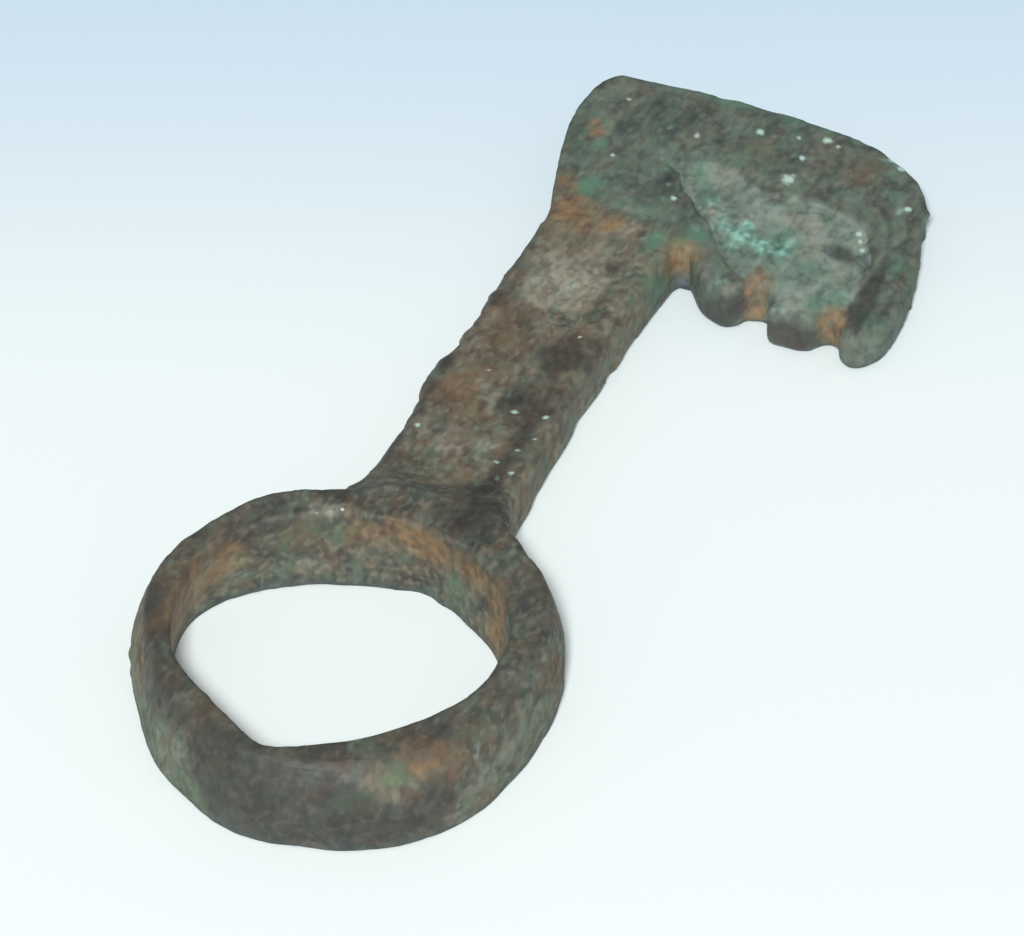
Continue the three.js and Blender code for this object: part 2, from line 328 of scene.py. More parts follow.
def ring_distance(x, y, z):
    """Distance from the ring's skin, and from the wall of its bore."""
    degrees = np.degrees(np.arctan2(y, x))
    radius = np.hypot(x, y)
    bore, outside = bore_at(degrees, z), outside_at(degrees, z)
    side = np.abs(radius - (bore + outside) / 2.0) - (outside - bore) / 2.0
    edge = RING_FOOT_ROUND + (RING_TOP_ROUND - RING_FOOT_ROUND) * smooth_step(0.0, RING_HEIGHT, z)
    return rounded_slab(side, z, RING_HEIGHT, edge), bore - radius


def bar_height(x, y):
    """The bar swells to a shoulder at the ring, lower on its left, and thins towards the bit's free end."""
    swell = smooth_step(SHANK_START, SHOULDER_START, x) ** SHOULDER_CURVE
    swell = swell * (1.0 - SHOULDER_LEFT_LOWER_BY * smooth_step(*SHOULDER_LEFT_SIDE, y))
    outward = np.clip((SHANK_RIGHT - y) / BIT_REACH, 0.0, 1.0)
    return SHANK_THICKNESS + SHOULDER_RISE * swell - (SHANK_THICKNESS - BIT_TIP_THICKNESS) * outward


def key_distance(points):
    """Distance from the whole key's skin: the ring and the bar, with a soft fillet where they meet."""
    x, y, z = points.T
    ring, bore = ring_distance(x, y, z)
    onto_bit = smooth_step(SHANK_END - ROUND_CHANGE, SHANK_END + ROUND_CHANGE, x)
    edge = SHANK_ROUND + (BIT_ROUND - SHANK_ROUND) * onto_bit
    bar = rounded_slab(bar_outline.distance(x, y), z, bar_height(x, y), edge)
    return soft_min(ring, np.maximum(bar, bore + BORE_CLEARANCE), JOIN_BLEND)


def within(low_x=None, high_x=None, low_y=None):
    """One piece's own stretch of the key: beyond it the skin dives under its neighbour's."""
    def distance(points):
        skin = key_distance(points)
        if high_x is not None:
            skin = soft_max(skin, points[:, 0] - high_x - PIECE_OVERLAP, PIECE_OVERLAP)
        if low_x is not None:
            beyond = low_x - PIECE_OVERLAP - points[:, 0]
            if low_y is not None:
                beyond = np.minimum(beyond, points[:, 1] - low_y)
            skin = soft_max(skin, beyond, PIECE_OVERLAP)
        return skin
    return distance


def slope(distance, points, small=0.02):
    """Outward direction of a distance, from small steps along X, Y and Z."""
    ways = np.eye(3) * small
    return np.stack([distance(points + way) - distance(points - way) for way in ways], axis=-1) / (2 * small)


def settle(points, distance, rounds=5, longest=0.6):
    """Moves points straight to the skin, by their distance along its slope."""
    for _ in range(rounds):
        way = slope(distance, points)
        steepness = np.maximum(np.sum(way * way, axis=1), 0.2)
        move = np.clip(distance(points), -longest, longest) / steepness
        points = points - way * move[:, None]
    return points


def from_line(x, y, corners):
    """Distance on the plan from an open line of straight stretches."""
    nearest = np.full(len(x), np.inf)
    for (ax, ay), (bx, by) in zip(corners, corners[1:]):
        along = ((x - ax) * (bx - ax) + (y - ay) * (by - ay)) / ((bx - ax) ** 2 + (by - ay) ** 2)
        along = np.clip(along, 0.0, 1.0)
        nearest = np.minimum(nearest, np.hypot(x - ax - along * (bx - ax), y - ay - along * (by - ay)))
    return nearest


def lengthwise(points):
    """The same place squeezed round the ring or along the bar, which draws noise out into streaks."""
    x, y, z = points.T
    radius = np.hypot(x, y)
    round_ring = np.stack([radius, np.arctan2(y, x) * RING_MIDDLE_RADIUS / STREAK_LENGTH, z], axis=-1)
    along_bar = np.stack([x / STREAK_LENGTH, y, z], axis=-1)
    return np.where((radius < RING_MIDDLE_RADIUS + 2.0)[:, None], round_ring, along_bar)


def relief(points, outward):
    """Height of the corroded surface over the plain skin, and what its finish needs to know."""
    x, y, z = points.T

    # How far each point faces up, and lies on the bit or the ring, from 0 to 1.
    upward = smooth_step(0.45, 0.85, outward[:, 2])
    beyond_shank = np.minimum((SHANK_RIGHT + 0.2 - y) / 0.9, (x - 36.0) / 0.3)
    onto_bit = np.maximum((x - 40.3 - 0.15 * y) / 1.2, beyond_shank)
    on_bit = smooth_step(-0.5, 0.7, onto_bit + 0.3 * swells(points, 1.3, 97))
    on_ring = 1.0 - smooth_step(12.0, 15.0, x)

    # Broad swells, grain, pits and thin sheets of crust over the whole key, and streaks on the ring.
    broad = 0.06 * swells(points, 5.0, 11) + 0.03 * layered(points, 1.9, 2, 13)
    grain = layered(points, 0.8, 2, 17)
    streaks = layered(lengthwise(points), 0.7, 3, 19)
    small_pits = pits(points, 0.8, 0.5, 23)
    large_pits = pits(points, 2.4, 0.35, 29)
    rough = smooth_step(-0.3, 0.5, swells(points, 4.0, 31))
    sheet = smooth_step(-0.06, 0.06, layered(points, 3.2, 4, 33) + 0.1)
    height = broad + GRAIN_HEIGHT * grain * (0.5 + 0.8 * rough)
    height -= SMALL_PIT_DEPTH * small_pits * rough + LARGE_PIT_DEPTH * large_pits
    height += LAYER_STEP * (sheet - 0.5) * (1.0 - on_bit) * (1.0 - 0.6 * on_ring)
    height += STREAK_HEIGHT * streaks * on_ring

    # The flaked face of the bit with its chips, shallow near the shank, and the knobbly crust round it.
    ragged = flake_outline.distance(x, y) + 0.2 * layered(points, 1.1, 3, 37)
    flaked = upward * (1.0 - smooth_step(-0.1, 0.1, ragged)) * on_bit
    crust = on_bit * (1.0 - flaked)
    knobs = pits(points, 0.5, 0.85, 41)
    chips = smooth_step(-0.12, 0.12, layered(points, 1.7, 3, 47) - 0.12)
    height += crust * (CRUST_KNOB_HEIGHT * knobs + CRUST_GRAIN_HEIGHT * layered(points, 0.6, 2, 43))
    shallow = 0.35 + 0.65 * smooth_step(40.5, 44.0, x)
    height -= flaked * (FLAKE_DEPTH - CHIP_HEIGHT * chips) * shallow

    # Cracks, dips and single knobs.
    torn = 0.12 * layered(points, 0.7, 3, 45)
    crack = sum(np.exp(-((from_line(x, y, line) + torn) / CRACK_WIDTH) ** 2) for line in CRACKS)
    crack = np.minimum(crack, 1.0) * upward * smooth_step(35.0, 36.0, x)
    height -= CRACK_DEPTH * crack
    for dip_x, dip_y, reach_x, reach_y, depth in DIPS:
        height -= upward * depth * np.exp(-((x - dip_x) / reach_x) ** 2 - ((y - dip_y) / reach_y) ** 2)
    for kx, ky, kz, size, rise in KNOBS:
        away = np.sum(((points - np.array((kx, ky, kz))) / size) ** 2, axis=1)
        height += rise * np.exp(-away)

    # What only the finish reads: the flake's edge, pits, the ring's upper rim and the foot, where contact
    # shade is painted.
    # A painted shadow line along the flake's step edge.
    edge = 0.5 * np.exp(-((ragged - 0.05) / 0.16) ** 2) * upward * on_bit * shallow
    hollow = 0.5 * small_pits * rough + 0.6 * large_pits
    rim = on_ring * smooth_step(4.4, 5.1, z) * (1.0 - 0.8 * smooth_step(5.0, 9.0, x))
    # Painted contact shade: darker towards the foot of the walls, where they meet the paper.
    foot = 1.0 - smooth_step(0.1, 0.8, z + 0.15 * grain)
    marks = {"flaked": flaked, "crust": crust, "hollow": hollow, "streaks": streaks, "bow": on_ring,
             "rim": rim, "foot": foot, "crack": np.minimum(edge + crack, 1.0)}
    return height - SKIN_MARGIN, marks


def section_loop(flat_steps, wall_steps):
    """A closed square loop: across and up both run from 0 to 1, along the foot, wall, top and back."""
    flat = np.linspace(0.0, 1.0, flat_steps, endpoint=False)
    wall = np.linspace(0.0, 1.0, wall_steps, endpoint=False)
    across = np.concatenate([flat, np.ones(wall_steps), 1.0 - flat, np.zeros(wall_steps)])
    up = np.concatenate([np.zeros(flat_steps), wall, np.ones(flat_steps), 1.0 - wall])
    return across[None, :], up[None, :]


def evenly(curve, count):
    """Points at even distances along an open curve."""
    walked = np.concatenate([[0.0], np.cumsum(np.hypot(*np.diff(curve, axis=0).T))])
    wanted = np.linspace(0.0, walked[-1], count)
    return np.stack([np.interp(wanted, walked, curve[:, k]) for k in range(2)], axis=-1)


def ring_grid(sections=620, flat_steps=46, wall_steps=28):
    """Sections of the bow in upright planes round the ring, closer together at the shoulder's two sides."""
    lanes = np.linspace(-180.0, 180.0, 7201)
    filled = np.cumsum(1.0 + 3.0 * np.exp(-((np.abs(lanes) - 16.0) / 6.0) ** 2))
    degrees = np.interp(np.linspace(filled[0], filled[-1], sections, endpoint=False), filled, lanes)[:, None]
    turn = np.radians(degrees)
    bore = bore_at(degrees, np.full_like(degrees, RING_HEIGHT / 2))
    ring = outside_at(degrees, np.full_like(degrees, RING_HEIGHT / 2))
    beside = np.where(degrees > 0, RING_GRID_LEFT, RING_GRID_RIGHT) / np.maximum(np.abs(np.sin(turn)), 1e-3)
    ahead = (SHANK_START + PIECE_OVERLAP) / np.maximum(np.cos(turn), 0.05)
    outside = np.where(np.cos(turn) > 0, np.maximum(ring, np.minimum(ahead, beside)), ring)
    across, up = section_loop(flat_steps, wall_steps)
    radius = bore + (outside - bore) * across
    x, y = radius * np.cos(turn), radius * np.sin(turn)
    over = smooth_step(-1.2, -0.2, radius - ring)
    top = RING_HEIGHT * (1 - over) + np.minimum(bar_height(x, y), RING_HEIGHT) * over
    return np.stack([x, y, top * up], axis=-1)


def shank_grid(sections=235, flat_steps=56, wall_steps=26):
    """Sections of the shank in upright planes along it."""
    x = np.linspace(SHANK_START - PIECE_OVERLAP, SHANK_END + PIECE_OVERLAP, sections)[:, None]
    across, up = section_loop(flat_steps, wall_steps)
    return np.stack(np.broadcast_arrays(x, GRID_RIGHT + GRID_WIDTH * across, SHANK_THICKNESS * up), axis=-1)


def stretch_of(curve, start, stop):
    """The part of a closed curve between the points nearest to two places."""
    first, last = (np.argmin(np.hypot(*(curve - np.array(place)).T)) for place in (start, stop))
    return curve[first:last + 1]


def bit_grid(ribs=290, flat_steps=112, wall_steps=16, end_steps=14):
    """Ribs across the plate from the toothed edge to the far edge, and its two ends closed over."""
    curve = rounded_curve(BAR_OUTLINE, 12)
    far = stretch_of(curve, *FAR_CORNERS)[::-1]
    teeth = stretch_of(curve, *TOOTHED_EDGE)
    hidden = SHANK_END - PIECE_OVERLAP
    front = evenly(np.concatenate([teeth, [(hidden, GRID_RIGHT), (hidden, BIT_GRID_LEFT)]]), ribs)
    walked = np.linspace(0.0, 1.0, ribs)
    level = (front[:, 1] - front[0, 1]) / (front[-1, 1] - front[0, 1])
    share = np.maximum.accumulate(0.85 * level + 0.15 * walked)
    lanes = evenly(far, 2000)
    place = np.linspace(0.0, 1.0, len(lanes))
    back = np.stack([np.interp(share, place, lanes[:, k]) for k in range(2)], axis=-1)
    across, up = section_loop(flat_steps, wall_steps)
    plan = front[:, None, :] + (back - front)[:, None, :] * across[..., None]
    height = bar_height(plan[..., 0], plan[..., 1])
    turn = np.linspace(0.0, np.pi / 2, end_steps + 1)[1:, None]
    rows = [np.concatenate([plan, (height * up)[..., None]], axis=-1)]
    for rib, outward in ((0, -1.0), (-1, 1.0)):
        middle = height[rib] / 2.0
        level = middle + (height[rib] * up[0] - middle) * np.cos(turn)
        shift = BIT_ROUND * outward * np.sin(turn)
        end = np.stack(np.broadcast_arrays(plan[rib, :, 0], plan[rib, :, 1] + shift, level), axis=-1)
        rows = [end[::-1]] + rows if rib == 0 else rows + [end]
    return np.concatenate(rows)


def grid_mesh(name, points, joined):
    """Four-sided faces over rows of closed loops. Joined rows go round; open ones end in a cap."""
    rows, columns = points.shape[:2]
    i = np.arange(rows if joined else rows - 1)[:, None] * columns
    j = np.arange(columns)[None, :]
    after, nearby = (i + columns) % (rows * columns), (j + 1) % columns
    faces = np.stack(np.broadcast_arrays(i + j, i + nearby, after + nearby, after + j), axis=-1)
    faces = faces.reshape(-1, 4)
    flat = points.reshape(-1, 3)
    a, b, c, d = (flat[faces[:, k]] for k in range(4))
    volume = np.sum(np.cross(a, b) * c) + np.sum(np.cross(a, c) * d)
    if volume < 0:
        faces = faces[:, ::-1]
    polygons = faces.tolist()
    if not joined:
        ends = [list(range(columns)), list(range((rows - 1) * columns, rows * columns))]
        polygons += [ends[0][::-1], ends[1]] if volume > 0 else [ends[0], ends[1][::-1]]
    mesh = bpy.data.meshes.new(name)
    mesh.from_pydata(flat.tolist(), [], polygons)
    return mesh


def weld(mesh):
    """Joins the points that lie together where a grid closes on itself."""
    work = bmesh.new()
    work.from_mesh(mesh)
    bmesh.ops.remove_doubles(work, verts=work.verts, dist=1e-7)
    bmesh.ops.dissolve_degenerate(work, edges=work.edges, dist=1e-7)
    bmesh.ops.recalc_face_normals(work, faces=work.faces)
    work.to_mesh(mesh)
    work.free()


# Stains as (X, Y, Z, reach along X, along Y and along Z, strength), all but the last in millimetres.

# Ochre earth left in notches, hollows and the bore.
SOIL = (
    (40.2, 3.4, 3.4, 1.5, 1.5, 3.0, 1.0), (38.6, 2.4, 3.4, 1.1, 1.1, 3.0, 0.8),
    (42.1, 3.9, 3.4, 1.0, 0.9, 2.0, 0.8), (39.4, 0.3, 3.4, 0.8, 0.9, 3.0, 0.8),
    (38.9, -3.9, 2.9, 1.3, 1.1, 1.5, 1.4), (47.4, 5.0, 3.4, 1.1, 0.9, 2.0, 1.0),
    (38.4, -8.9, 2.2, 1.2, 0.8, 1.8, 2.0), (37.7, -14.0, 2.0, 1.1, 0.8, 1.2, 2.2),
    (5.8, -6.8, 3.0, 1.2, 1.2, 2.6, 1.5), (7.6, -4.6, 4.2, 1.4, 1.8, 1.0, 0.9),
    (8.8, -0.6, 4.0, 1.6, 2.2, 1.2, 1.3), (8.8, 2.6, 4.0, 1.6, 1.2, 1.2, 0.7),
    (0.6, -9.0, 2.4, 2.4, 1.0, 2.0, 0.7), (-1.2, 8.9, 3.0, 3.4, 1.6, 2.4, 1.9),
    (-4.2, 8.0, 2.8, 1.6, 1.6, 2.0, 0.6), (3.2, 8.5, 3.6, 2.0, 1.4, 1.4, 1.0),
    (-3.4, 8.6, 3.2, 1.6, 1.3, 2.2, 1.0), (-6.0, 7.4, 3.6, 1.2, 1.2, 1.8, 0.8),
    (9.2, -3.0, 4.4, 1.0, 2.4, 1.0, 0.7), (-7.8, -8.4, 5.0, 1.4, 1.4, 1.0, 1.3),
    (20.9, 0.9, 3.4, 1.0, 0.9, 2.0, 0.5), (15.4, 2.2, 3.4, 1.8, 0.7, 2.0, 0.5),
    (36.6, 1.0, 3.4, 1.2, 1.2, 2.0, 0.35), (2.0, -12.0, 3.0, 0.8, 0.8, 1.0, 0.5))

# Warm brown metal that shows where the crust is thin.
WARM = (
    (22.6, 2.8, 3.4, 2.4, 1.8, 3.0, 1.1), (28.0, 2.6, 3.4, 2.4, 1.8, 3.0, 0.8),
    (16.6, 0.4, 3.4, 3.0, 1.4, 3.0, 0.5), (29.2, -1.6, 3.4, 1.4, 0.8, 2.0, 0.5),
    (-10.0, -7.2, 4.4, 1.4, 1.8, 1.0, 0.8), (-7.6, -9.8, 4.0, 2.2, 1.4, 1.4, 0.8),
    (42.6, 4.9, 3.2, 1.2, 0.7, 2.0, 0.8), (43.8, 6.2, 2.8, 1.4, 0.6, 2.0, 0.8),
    (4.0, -11.4, 3.6, 2.2, 1.2, 1.6, 0.5), (8.0, -9.0, 4.4, 1.8, 1.8, 1.4, 0.6),
    (16.4, -3.8, 1.8, 1.6, 0.8, 1.4, 0.6), (34.8, -3.3, 2.0, 1.8, 0.8, 1.4, 0.9),
    (30.4, -3.4, 1.8, 2.0, 0.8, 1.4, 0.5), (50.6, -9.4, 3.0, 2.4, 2.6, 2.0, 0.6),
    (52.2, 3.6, 3.4, 0.7, 1.6, 2.0, 0.6), (49.0, -4.6, 3.2, 2.4, 1.4, 2.0, 0.4),
    (10.8, 8.0, 3.0, 2.6, 2.0, 2.0, 0.5), (42.8, -16.4, 2.0, 2.6, 0.4, 1.2, 0.7),
    (36.3, -11.6, 0.9, 0.6, 1.4, 1.2, 0.9), (36.8, -6.6, 0.9, 0.6, 1.2, 1.2, 0.6),
    (7.4, 6.2, 3.6, 1.6, 1.6, 1.6, 0.4), (9.1, -2.1, 3.5, 1.2, 2.2, 1.6, 0.9),
    (5.8, -7.4, 3.4, 1.2, 1.2, 1.8, 0.7), (-9.6, 3.0, 5.2, 2.0, 3.6, 1.2, 0.5))

# Green corrosion, brighter on the bit and duller on the ring.
GREEN = (
    (42.4, 3.0, 3.4, 1.2, 1.6, 3.0, 0.9), (41.6, 0.6, 3.4, 1.1, 1.4, 3.0, 0.8),
    (40.6, -1.2, 3.4, 1.0, 1.0, 3.0, 0.7), (38.5, -2.2, 3.4, 1.2, 0.8, 2.0, 0.9),
    (39.0, -1.9, 3.4, 0.8, 0.5, 3.0, 1.1), (46.4, 4.4, 3.4, 0.8, 0.6, 2.0, 0.8),
    (48.6, 4.6, 3.4, 0.7, 0.4, 2.0, 0.8), (40.4, -4.4, 3.2, 1.4, 1.4, 2.0, 0.7),
    (41.4, -8.2, 3.0, 2.0, 2.4, 2.0, 0.9), (45.9, -2.6, 3.2, 1.2, 1.2, 2.0, 0.7),
    (39.2, -11.8, 3.0, 2.0, 1.8, 2.0, 0.7), (38.6, -16.0, 2.4, 2.4, 1.2, 2.0, 0.2),
    (39.2, -13.6, 2.8, 1.0, 0.8, 2.0, 0.6), (36.6, -2.6, 3.0, 2.0, 1.2, 2.0, 0.5),
    (53.2, -5.4, 2.8, 0.5, 9.0, 1.4, 0.85), (53.4, 1.6, 3.0, 0.5, 1.6, 1.4, 0.7),
    (43.6, -15.6, 2.4, 5.0, 0.35, 1.6, 0.55), (42.4, -17.0, 1.0, 3.4, 0.5, 1.2, 0.5),
    (37.0, -8.0, 0.4, 1.0, 0.8, 0.8, 0.9), (46.8, -13.6, 2.8, 1.6, 0.8, 2.0, 0.4),
    (-9.8, -7.4, 4.7, 0.8, 0.7, 0.6, 2.4), (-11.0, -6.0, 3.4, 0.9, 1.1, 0.6, 2.0),
    (-4.6, 10.6, 2.2, 1.6, 1.4, 1.8, 1.0), (-7.8, 8.6, 1.8, 1.8, 1.6, 1.6, 0.6),
    (-11.6, 4.2, 1.4, 1.4, 2.6, 1.2, 0.7), (-12.2, 2.4, 1.6, 1.2, 2.4, 1.0, 0.6),
    (-9.8, 7.0, 2.0, 1.8, 1.8, 1.6, 0.6), (6.4, 5.6, 3.4, 1.0, 1.4, 1.2, 0.7),
    (7.6, 3.6, 3.8, 1.0, 1.2, 1.0, 0.6), (8.0, -3.9, 1.6, 0.9, 1.4, 1.2, 1.2),
    (24.0, -3.4, 1.0, 6.0, 0.7, 1.4, 0.45), (34.6, -3.2, 1.8, 3.4, 0.9, 2.0, 0.5),
    (10.6, 0.6, 4.4, 0.9, 0.5, 2.0, 0.9), (13.0, 3.4, 4.0, 1.2, 0.8, 2.0, 0.5),
    (37.4, 4.6, 2.6, 1.4, 0.5, 1.6, 0.6), (-1.0, -12.2, 2.6, 3.6, 0.9, 1.8, 0.8),
    (22.6, 5.0, 2.8, 3.0, 0.5, 1.4, 0.4))

# Turquoise bloom on the flaked face.
BLOOM = (
    (42.2, -6.5, 3.2, 0.9, 0.6, 2.0, 1.2), (41.7, -7.7, 3.2, 0.6, 0.7, 2.0, 1.0),
    (42.0, -9.2, 3.2, 0.8, 0.9, 2.0, 0.9), (42.4, -5.4, 3.2, 0.7, 0.6, 2.0, 0.7),
    (40.6, -6.3, 3.2, 0.4, 0.35, 2.0, 0.8), (42.9, -6.4, 3.2, 0.6, 0.3, 2.0, 0.6),
    (41.3, -7.9, 3.2, 0.5, 0.4, 2.0, 0.6), (44.2, -3.8, 3.2, 0.5, 0.4, 2.0, 0.6),
    (43.4, -3.3, 3.2, 0.4, 0.25, 2.0, 0.5), (42.8, 1.6, 3.4, 0.35, 0.5, 2.0, 0.8),
    (44.3, -0.9, 3.4, 0.3, 0.2, 2.0, 0.7), (39.2, -1.7, 3.4, 0.4, 0.3, 2.0, 0.5),
    (52.1, -12.2, 2.6, 0.3, 1.1, 1.0, 0.9), (47.3, 0.0, 3.4, 0.5, 0.2, 2.0, 0.6),
    (37.4, -7.0, 3.2, 0.5, 0.4, 1.0, 0.5), (48.0, -14.0, 2.8, 0.7, 0.3, 1.0, 0.7),
    (10.6, 0.9, 4.4, 0.4, 0.25, 1.0, 0.6))

# Pale, dusty crust.
PALE = (
    (33.4, 1.2, 3.4, 2.0, 1.8, 3.0, 1.0), (32.0, 1.6, 3.4, 1.2, 1.6, 3.0, 0.9),
    (34.0, -0.4, 3.4, 1.8, 0.8, 3.0, 1.0), (36.0, 1.2, 3.4, 1.2, 1.3, 3.0, 0.6),
    (41.6, -0.4, 3.4, 1.1, 1.8, 3.0, 0.5), (40.6, -15.2, 2.6, 2.4, 0.6, 1.2, 0.6),
    (35.2, 3.0, 3.4, 1.0, 1.2, 3.0, 0.6), (17.6, 1.4, 3.4, 2.0, 1.0, 3.0, 0.6),
    (18.4, -0.4, 3.4, 0.8, 0.7, 3.0, 0.7), (23.4, 1.9, 3.4, 0.7, 0.6, 3.0, 0.7),
    (14.6, 0.2, 3.6, 1.0, 0.7, 3.0, 0.5), (42.6, -10.4, 3.2, 1.9, 1.3, 3.0, 0.9),
    (45.0, -8.6, 3.2, 1.2, 1.6, 3.0, 0.6), (46.0, -2.6, 3.2, 0.8, 1.6, 3.0, 0.7),
    (43.6, -4.0, 3.2, 0.9, 0.7, 3.0, 0.7), (37.0, -7.5, 3.2, 0.5, 0.5, 3.0, 0.7),
    (37.2, -11.8, 3.0, 0.8, 1.2, 2.0, 0.7), (12.4, 2.2, 4.2, 1.4, 0.8, 2.0, 0.5),
    (33.0, -3.4, 2.2, 3.0, 0.6, 1.4, 0.35), (8.0, 5.6, 5.2, 1.4, 1.6, 0.6, 0.4),
    (-7.8, -8.0, 5.2, 1.2, 1.2, 0.7, 1.0), (-1.0, 9.0, 3.0, 3.2, 1.4, 2.2, 1.4),
    (3.4, 8.6, 3.8, 1.8, 1.2, 1.2, 0.6), (18.6, 3.2, 3.4, 1.3, 1.0, 2.0, 0.6),
    (39.4, -0.2, 3.4, 0.8, 0.8, 2.0, 0.7), (41.2, -14.4, 2.7, 0.6, 0.5, 1.0, 0.7),
    (46.6, -3.2, 3.0, 0.9, 1.0, 1.0, 0.8), (37.4, -2.2, 3.4, 1.0, 0.8, 2.0, 0.5),
    (3.6, -7.6, 3.9, 0.9, 0.9, 1.0, 0.9), (7.0, 5.6, 1.6, 1.6, 1.6, 0.6, 0.6),
    (7.9, 4.6, 5.2, 1.0, 1.0, 0.5, 0.7), (42.0, -12.8, 3.0, 2.4, 0.5, 2.0, 0.5),
    (44.6, -12.9, 3.0, 1.0, 0.4, 2.0, 0.8), (-11.0, -2.6, 5.2, 0.5, 2.4, 0.3, 0.4))

# Thin grey-green film, chiefly on the ring's outer wall.
ASH = (
    (-11.4, 5.2, 2.6, 2.0, 2.6, 1.2, 0.8), (-12.4, 2.2, 1.6, 1.4, 2.4, 1.0, 0.9),
    (-9.0, 8.0, 3.4, 2.4, 2.0, 1.4, 0.7), (-6.0, 9.6, 2.6, 2.0, 1.6, 1.4, 0.6),
    (-7.2, -11.2, 2.8, 2.6, 1.4, 1.2, 0.8), (-3.4, -12.0, 3.2, 2.6, 1.2, 1.2, 0.7),
    (0.6, -12.2, 2.0, 2.4, 1.2, 1.6, 0.5), (46.0, 2.0, 3.4, 2.4, 2.4, 3.0, 0.3),
    (22.0, -3.6, 1.4, 7.0, 0.8, 1.6, 0.35), (31.0, -3.5, 1.4, 5.0, 0.8, 1.6, 0.4),
    (15.0, -4.2, 1.4, 2.4, 0.8, 1.6, 0.4), (12.4, 0.6, 4.2, 1.6, 1.6, 1.0, 0.4),
    (4.8, 7.4, 2.2, 2.4, 2.4, 2.2, 0.4))

# Dark crust, and painted shade in corners, hollows and on the bit's shaded left side.
DARK_AND_SHADED = (
    (9.8, -3.2, 5.2, 1.6, 2.0, 1.2, 1.1), (12.0, -3.2, 4.6, 1.8, 1.8, 1.4, 0.8),
    (19.0, -2.0, 3.4, 4.2, 0.8, 1.4, 1.0), (27.2, -1.3, 3.4, 0.9, 1.2, 2.0, 1.6),
    (23.4, -0.9, 3.4, 2.4, 1.1, 2.0, 0.7), (25.0, -3.2, 2.2, 8.0, 0.8, 1.6, 0.6),
    (28.8, -1.6, 3.4, 1.4, 1.0, 2.0, 0.6), (35.8, -0.9, 3.4, 0.9, 0.7, 2.0, 1.0),
    (14.6, -1.8, 3.8, 1.6, 1.0, 2.0, 0.6), (30.6, 4.2, 3.4, 0.7, 0.5, 2.0, 0.9),
    (24.8, 4.5, 3.4, 3.6, 0.5, 1.6, 0.8), (34.0, 4.4, 3.4, 3.6, 0.4, 1.6, 0.7),
    (17.0, 4.3, 3.2, 4.0, 0.5, 1.6, 0.8), (22.2, 0.2, 3.4, 1.2, 0.4, 2.0, 0.5),
    (44.9, -0.9, 3.4, 1.0, 0.6, 2.0, 0.8), (43.6, 0.2, 3.4, 1.2, 0.8, 2.0, 0.6),
    (41.4, -14.9, 2.8, 2.4, 0.5, 1.4, 1.2), (45.8, 3.2, 3.4, 0.7, 0.5, 2.0, 0.6),
    (50.0, 2.4, 3.4, 2.0, 1.6, 2.0, 0.4), (51.8, 3.6, 3.4, 0.7, 1.2, 2.0, 0.4),
    (46.3, -7.0, 3.2, 0.7, 1.0, 2.0, 1.0), (43.2, -12.2, 3.0, 0.8, 1.4, 2.0, 0.9),
    (38.2, -15.0, 2.0, 1.6, 0.7, 1.6, 0.8), (37.4, -7.6, 2.6, 1.0, 1.0, 1.4, 0.7),
    (30.8, 3.2, 3.4, 1.2, 1.0, 2.0, 0.5), (39.9, -6.0, 3.2, 1.0, 0.35, 2.0, 0.4),
    (38.6, -15.6, 1.6, 2.4, 0.6, 1.6, 0.8), (36.5, -11.6, 1.2, 0.8, 1.8, 1.3, 1.3),
    (37.0, -7.2, 1.2, 0.8, 1.6, 1.2, 1.2), (37.2, -9.3, 2.4, 0.25, 0.2, 0.6, 1.6),
    (-12.2, -0.8, 3.2, 1.8, 3.4, 2.4, 1.6), (-11.6, -4.4, 3.2, 2.0, 2.6, 1.8, 1.4),
    (-11.4, 2.6, 4.4, 1.8, 2.4, 1.6, 0.8), (-12.3, -2.4, 4.2, 1.3, 4.4, 1.2, 1.3),
    (-12.4, -0.6, 2.0, 1.2, 4.4, 1.4, 1.0), (-5.6, 8.6, 5.2, 2.4, 2.4, 0.7, 0.6),
    (-8.4, -9.4, 3.0, 2.2, 1.6, 1.2, 0.9), (9.2, 1.7, 5.2, 1.0, 1.3, 0.8, 0.8),
    (45.6, 6.0, 2.6, 2.4, 0.5, 1.4, 0.6), (-11.0, -6.8, 1.6, 2.0, 2.4, 1.4, 1.1),
    (-9.0, 7.4, 4.6, 2.2, 2.2, 1.4, 0.8), (-3.2, -12.0, 4.2, 4.0, 1.4, 1.4, 0.5),
    (-10.0, -9.6, 1.6, 1.8, 1.6, 1.4, 0.7), (-8.4, -8.4, 5.2, 2.4, 2.2, 0.7, 0.3),
    (-2.8, 10.0, 5.3, 2.8, 1.2, 0.8, 0.9), (8.6, -8.6, 4.4, 2.6, 2.4, 1.4, 0.6),
    (9.6, 5.4, 4.8, 1.6, 2.2, 1.4, 0.6), (10.6, 4.0, 4.6, 1.0, 1.2, 1.2, 0.7),
    (5.6, 6.0, 0.7, 2.6, 2.6, 0.5, 0.5))

# Painted lilac-grey shade deep in the notches and in a few spots on the teeth.
SHADOWED = (
    (39.3, -3.9, 0.4, 0.8, 0.8, 0.8, 1.8), (38.8, -9.4, 0.1, 0.5, 0.6, 0.4, 1.2),
    (40.2, -15.1, 2.4, 0.8, 0.4, 1.4, 0.5), (38.0, -8.0, 1.8, 1.2, 1.4, 1.2, 0.5),
    (44.0, -6.9, 3.2, 0.5, 0.5, 1.0, 0.5))
